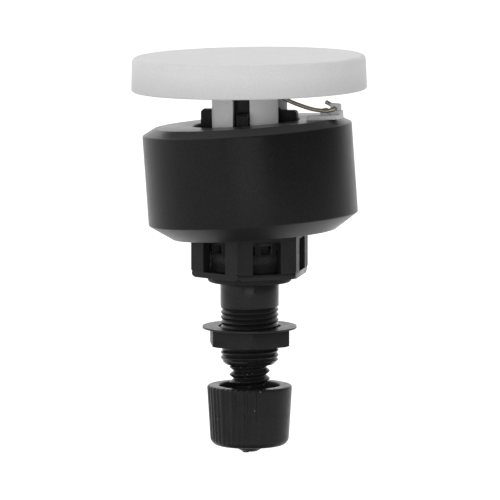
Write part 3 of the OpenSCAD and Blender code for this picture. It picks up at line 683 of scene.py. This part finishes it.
def make_float():
    f = FLOAT
    h = f["h"] / 2
    outline = [(f["bore"], -h + f["recess_h"]), (f["recess_r"], -h + f["recess_h"]), (f["recess_r"], -h),
               (f["r"] - f["low_w"], -h), (f["r"], -h + f["low_h"]), (f["r"], h - f["top_h"]),
               (f["r"] - f["top_w"], h), (f["bore"], h)]
    radii = [0.2, 0.3, 0.3, 0.6, 0.5, 0.5, 0.5, 0.35]
    obj = lathe("float_body", fillet(outline, radii, 4), 200)
    obj.data.transform(float_frame())
    place(obj, "float", "float_ring")


def make_strainer():
    """The banded sleeve, and the fine screen that lines it."""
    s = SCREEN
    sleeve = welded_copy("strainer", "sleeve")
    soften(sleeve, 35)
    screen = lathe("screen", [(s["inner"], s["low"]), (s["r"], s["low"]), (s["r"], s["top"]),
                              (s["inner"], s["top"])], 96)
    place(join("strainer_visual", [sleeve, screen]), "root", "strainer")


def make_lips():
    """The edges of the lever's slot in the column, which turn in over the tube's cheeks."""
    p = LIP
    sides = []
    for a, b in ((p["inner"], p["outer"]), (-p["outer"], -p["inner"])):
        outline = [(p["start"], a), (p["end"], a), (p["end"], b), (p["start"], b)]
        sides.append(prism("lip", outline, p["low"], p["top"]))
    obj = join("column_lips", sides)
    obj.data.transform(lever_frame())
    add(obj, "root", "shield_cap")


# ---------------------------------------------------------------- stem, nut and drain screw

# Share of the pitch and share of the depth, from the crest round to the next crest.
STEM_PROFILE = [(0.0, 0.0), (0.07, 0.03), (0.13, 0.14), (0.20, 0.32), (0.5, 1.0), (0.82, 0.32), (0.90, 0.13),
                (0.95, 0.03)]
SCREW_PROFILE = [(0.0, 0.0), (0.05, 0.03), (0.10, 0.12), (0.46, 1.0), (0.54, 1.0), (0.90, 0.12), (0.95, 0.03)]


def stem_radius(z, share):
    """The thread starts under the shank, and a chamfer cuts its lower end."""
    s = STEM
    depth = s["depth"] * ease(z, SHANK["low"] + s["fade_start"], SHANK["low"] - s["fade_end"])
    end = s["r"] - s["chamfer"] * ease_line(z, s["low"] + s["chamfer"], s["low"])
    return min(s["r"] - depth * share, end)


def make_stem():
    p, s = PLATE, SHANK
    threaded = thread("stem_thread", stem_radius, STEM["bore"], STEM["low"], s["low"], STEM["pitch"],
                      STEM_PROFILE, STEM["phase"])
    neck = lathe("stem_neck", fillet([
        (s["bore"], s["bore_low"]), (s["bore"], p["top"]), (s["relief"], p["top"]), (s["relief"], 0),
        (s["r"], 0), (s["r"], s["low"]), (STEM["bore"], s["low"]), (STEM["bore"], s["bore_low"])],
        [0, 0, 0, 0, 0.12, 0.1, 0, 0], 2), 144)
    plate = prism("stem_plate", hexagon(p["r"], CAGE_BEARING), p["low"], p["top"])
    under, over = p["low"] - SKIN, p["top"] + p["rise"]
    cone = [(0, under), (p["r"] - p["chamfer"], under), (p["r"] + p["flare"], over), (0, over)]
    under, over, hole_r = p["low"] - CUTTER_PAST, p["top"] + CUTTER_PAST, s["relief"] - p["overlap"]
    turned_and_bored(plate, cone, [(0, under), (hole_r, under), (hole_r, over), (0, over)], 96)
    rounded(plate, p["edge"], 2)
    place(join("stem", [threaded, neck, plate]), "root", "stem_body")


def make_nut():
    n = NUT
    corner = n["af"] / 2 / math.cos(math.radians(30))
    low, top = n["top"] - n["h"], n["top"]
    body = prism("bowl_nut_visual", hexagon(corner, n["bearing"]), low, top)
    small, large = corner - n["chamfer_w"], corner + n["chamfer_w"]
    under, over = low - SKIN, top + CUTTER_PAST
    cone = [(0, under), (small, under), (large, low + 2 * n["chamfer_h"]), (large, over), (0, over)]
    under = low - CUTTER_PAST
    hole = [(0, under), (n["bore"] + n["lead_w"], under), (n["bore"], low + n["lead_h"]), (n["bore"], over),
            (0, over)]
    turned_and_bored(body, cone, hole, 128)
    rounded(body, n["edge"], 3)
    place(body, "nut", "bowl_nut")


def screw_radius(z, share):
    """The thread runs out into plain rod at the nose above and in the knob's cup below."""
    s = SCREW
    root = max(share, ease(z, s["run_out"], s["run_out"] - s["run"]))
    return s["r"] - s["depth"] * root * ease(z, s["top"], s["top"] - s["fade"])


def make_screw():
    s, n = SCREW, NOSE
    threaded = thread("screw_thread", screw_radius, s["bore"], s["low"], s["top"], s["pitch"], SCREW_PROFILE,
                      s["phase"])
    groove_low, groove_top = n["groove_z"] - n["groove_h"], n["groove_z"] + n["groove_h"]
    nose = lathe("screw_nose", fillet([
        (s["bore"], s["top"]), (n["r"], s["top"]), (n["r"], groove_low), (n["groove_r"], groove_low),
        (n["groove_r"], groove_top), (n["r"], groove_top), (n["r"], n["top"]), (s["bore"], n["top"])],
        [0, 0, 0.1, 0, 0, 0.1, 0.3, 0.1], 2), 96)
    foot = lathe("screw_foot", [(s["bore"], s["foot_z"]), (s["foot_r"], s["foot_z"]), (s["foot_r"], s["low"]),
                                (s["bore"], s["low"])], 96)
    place(join("drain_screw_visual", [threaded, nose, foot]), "knob_group", "drain_screw")


# ---------------------------------------------------------------- knob

# How worn each grip groove is at the rim, the middle and the foot, from the left end of a sector to its
# right end.
GRIP_WEAR = [(0.7, 0.6, 0.7), (0.8, 0.6, 0.6), (0.7, 0.6, 0.5), (0.6, 0.7, 0.7), (0.9, 0.8, 0.5),
             (0.4, 0.6, 0.5), (1.1, 1.0, 0.8), (0.9, 0.2, 0.9), (1.2, 1.0, 0.3), (0.5, 0.3, 1.1),
             (1.2, 1.0, 0.9), (1.1, 0.8, 0.2), (1.1, 0.9, 0.4)]


def groove_depth(angle, down):
    """Depth of the grip grooves at an angle about +Z; down runs from 0 at the rim to 1 at the foot."""
    g = GRIP
    bearing = math.degrees(angle) + 90
    span = (g["grooves"] - 1) / 2 * g["step"]
    best = 0.0
    for side in (0, 180):
        off = (bearing - KNOB["bearing"] - side + 180) % 360 - 180
        for i in range(g["grooves"]):
            across = math.radians(off + span - g["step"] * i) * KNOB["r"]
            if abs(across) < g["cutter_r"]:
                cut = math.sqrt(g["cutter_r"] ** 2 - across ** 2) - (g["cutter_r"] - g["depth"])
                top, middle, foot = GRIP_WEAR[i]
                wear = top + (middle - top) * min(2 * down, 1) + (foot - middle) * max(2 * down - 1, 0)
                best = max(best, cut * wear)
    return best


def grooved(r, z, angle):
    """The radius of the knob's outer wall under its grip grooves; its other walls stay."""
    k, g = KNOB, GRIP
    low = k["rim_z"] - k["h"]
    if r < k["cup_r"] + k["cup_round"] or z > k["rim_z"] - SKIN:
        return r
    foot, rim = g["foot_fade"], g["rim_fade"]
    share = ease(z, low + foot[0], low + foot[1])
    share *= 1 - g["rim_share"] * ease(z, k["rim_z"] + rim[0], k["rim_z"] + rim[1])
    return r - share * groove_depth(angle, (k["rim_z"] - z) / k["h"])


def make_knob():
    k, sp = KNOB, SPOUT
    low = k["rim_z"] - k["h"]
    tip = low - sp["length"]
    steps = 10
    rise = k["h"] - k["foot_round"] - k["rim_round"]
    wall = [(k["foot_r"] + (k["r"] - k["foot_r"]) * i / steps, low + k["foot_round"] + rise * i / steps)
            for i in range(1, steps + 1)]
    foot = quarter(k["foot_r"] - k["foot_round"], low + k["foot_round"], k["foot_round"], -90, 8)
    rim = quarter(k["r"] - k["rim_round"], k["rim_z"] - k["rim_round"], k["rim_round"], 0, 6)
    cup = fillet([(k["r"], k["rim_z"]), (k["cup_r"], k["rim_z"]), (k["cup_r"], k["cup_low"]),
                  (0, k["cup_low"])], [0, 0.35, k["cup_round"], 0], 3)
    spout = fillet([(sp["hole"], low + sp["deep"]), (sp["hole"], tip), (sp["tip_r"], tip),
                    (sp["r"], tip + sp["taper"]), (sp["r"], low), (k["foot_r"], low)],
                   [0, 0.08, 0.15, 0.3, 0.4, 0], 3)
    outline = [(0.0, low + sp["deep"])] + spout[:-1] + foot + wall + rim[1:] + cup[1:]
    body = lathe("knob_body", outline, 720, 40, grooved)
    under, over = tip - sp["nub_h"], tip + sp["nub_in"]
    nub = lathe("nub", fillet([(0, under), (sp["nub_r"], under), (sp["nub_r"], over), (0, over)],
                              [0, 0.08, 0, 0], 2), 48)
    nub.data.transform(Matrix.Translation((-sp["nub_shift"] * MM, 0, 0)))
    under, over = tip - CUTTER_PAST, tip + CUTTER_PAST
    boolean(nub, lathe("hole", [(0, under), (sp["hole"], under), (sp["hole"], over), (0, over)], 48))
    place(join("knob", [body, nub]), "knob_group", "drain_knob")


# ---------------------------------------------------------------- wire and spring

def make_wire():
    """From the rocker down to the clip, through the hole of its lug and back over it."""
    w = WIRE
    hook = hook_point()
    start = Vector((w["reach"], 0, w["pivot_z"]))
    # Share of the way out to the hook, and share of the drop that is left there.
    sag = [(0.15, 0.7), (0.32, 0.39), (0.5, 0.14), (0.68, -0.05), (0.82, -0.11), (0.9, -0.13)]
    run = [Vector((start.x + (hook.x - start.x) * a, 0, hook.z + (start.z - hook.z) * b)) for a, b in sag]
    near, far = CLIP["lug_y"], CLIP["lug_y"] + CLIP["lug_t"]
    back = far + w["lug_gap"] + w["d"] / 2
    turn = [(-0.4, 0.12, -0.1), (0, near - 0.1, 0), (0, far + 0.1, 0), (-0.3, back - 0.05, 0.15),
            (-0.9, back, 0.55), (-1.9, back, 1.05), (-2.9, back, 1.5)]
    path = [start - Vector((w["socket"], 0, 0)), start - Vector((w["straight"], 0, 0)), start] + run
    path += [hook + Vector(v) for v in turn]
    obj = sweep("wire", smooth_path(path, 6), w["d"] / 2 - w["inset"], 18)
    obj.data.transform(lever_frame())
    place(obj, "lever", "lever_wire")


def make_spring():
    s = SPRING
    low, high = s["low"] + s["wire_r"] + s["gap"], s["top"] - s["wire_r"] - s["gap"]
    steps = s["turns"] * 40
    path = []
    for i in range(steps + 1):
        a = TAU * s["turns"] * i / steps
        lift = ease_line(i / steps, s["flat_end"], 1 - s["flat_end"])
        path.append((s["r"] * math.cos(a), s["r"] * math.sin(a), low + (high - low) * lift))
    obj = sweep("return_spring_visual", path, s["wire_r"] - s["inset"], 10)
    place(obj, "root", "return_spring")


# ---------------------------------------------------------------- camera, light and floor

def make_camera():
    c = CAMERA
    elevation, aim = math.radians(c["elevation"]), Vector(c["aim"])
    cam = bpy.data.cameras.new("camera")
    cam.lens = c["lens"]
    cam.sensor_width = 36.0
    cam.clip_start = 0.05
    cam.clip_end = 30.0
    obj = linked("camera", cam)
    obj.location = aim + Vector((0, -math.cos(elevation), math.sin(elevation))) * c["distance"]
    obj.rotation_euler = (math.pi / 2 - elevation, 0, 0)
    bpy.context.scene.camera = obj


def area_light(name, location, aim, size, power, glossy=False):
    light = bpy.data.lights.new(name, "AREA")
    light.shape = "RECTANGLE"
    light.size, light.size_y = size
    light.energy = power
    obj = linked(name, light)
    obj.location = location
    obj.rotation_euler = (Vector(aim) - Vector(location)).to_track_quat("-Z", "Y").to_euler()
    obj.visible_glossy = glossy


def seen_or_mirrored(tree, path):
    """1 for camera, glossy and transmission rays, which see the pale backdrop, and 0 for light."""
    seen = path.outputs["Is Camera Ray"]
    for other in ("Is Glossy Ray", "Is Transmission Ray"):
        seen = calculated(tree, "MAXIMUM", seen, path.outputs[other])
    return seen


def make_world():
    """A white studio whose front right is dimmer, as the walls of a room beyond the paper are."""
    w = WORLD
    world = bpy.data.worlds.new("studio")
    bpy.context.scene.world = world
    world.use_nodes = True
    tree = world.node_tree
    ground = tree.nodes["Background"]
    ground.inputs["Color"].default_value = (1, 1, 1, 1)
    side = tree.nodes.new("ShaderNodeVectorMath")
    side.operation = "DOT_PRODUCT"
    side.inputs[1].default_value = w["dim_side"]
    tree.links.new(tree.nodes.new("ShaderNodeTexCoord").outputs["Generated"], side.inputs[0])
    mirrored = mapped(tree, side.outputs["Value"], *w["mirrored"], *w["mirrored_span"], True)
    lit = mapped(tree, side.outputs["Value"], *w["lit"], *w["lit_span"])
    path = tree.nodes.new("ShaderNodeLightPath")
    backdrop = mixed(tree, path.outputs["Is Camera Ray"], mirrored, 1.0)
    tree.links.new(mixed(tree, seen_or_mirrored(tree, path), lit, backdrop), ground.inputs["Strength"])


def make_floor():
    """White paper with a painted shadow under the part's foot, which only reflections show."""
    f = FLOOR
    mesh = bpy.data.meshes.new("floor")
    corners = [(x * f["half"], y * f["half"], f["z"]) for x, y in ((-1, -1), (1, -1), (1, 1), (-1, 1))]
    mesh.from_pydata(corners, [], [(0, 1, 2, 3)])
    obj = linked("floor", mesh)
    mat = bpy.data.materials.new("floor_paper")
    mat.use_nodes = True
    tree = mat.node_tree
    shader = tree.nodes["Principled BSDF"]
    shader.inputs["Roughness"].default_value = 0.9
    shader.inputs["Specular IOR Level"].default_value = 0.1
    shader.inputs["Emission Color"].default_value = (1, 1, 1, 1)
    path = tree.nodes.new("ShaderNodeLightPath")
    reach = reach_of(tree, object_coords(tree))
    # Painted shadow: in reflections the paper darkens under the part's foot.
    under = mapped(tree, reach, f["painted_shadow_share"], 1.0, f["foot_r"], f["clear_r"], True)
    share = mixed(tree, path.outputs["Is Glossy Ray"], 1.0, under)
    tree.links.new(calculated(tree, "MULTIPLY", share, f["paper"]), shader.inputs["Base Color"])
    seen = calculated(tree, "MULTIPLY", seen_or_mirrored(tree, path), share)
    tree.links.new(calculated(tree, "MULTIPLY", seen, f["glow"]), shader.inputs["Emission Strength"])
    obj.data.materials.append(mat)


make_float()
make_strainer()
make_lips()
make_stem()
make_nut()
make_screw()
make_knob()
make_wire()
make_spring()
for name in ("shield_cap", "guide_tube", "inlet_cage", "bowl_gasket", "cylinder_floor", "stem_seal",
             "pilot_nozzle", "pivot_pin", "lever_rocker", "pilot_pad", "float_clip", "piston", "piston_seal",
             "drain_seal", "bowl_washer", "screw_oring"):
    keep(name)
make_camera()
make_world()
make_floor()
area_light("key", location=(-0.7, -1.2, 0.12), aim=(0, 0, 0.03), size=(0.6, 0.6), power=3.0)
area_light("front", location=(-0.05, -1.9, 0.11), aim=(0, 0, 0.02), size=(1.15, 0.36), power=3.1, glossy=True)
area_light("top", location=(0.15, 0.1, 1.2), aim=(0, 0, 0.02), size=(0.8, 0.8), power=0.8)
bpy.context.scene.view_settings.view_transform = "Standard"
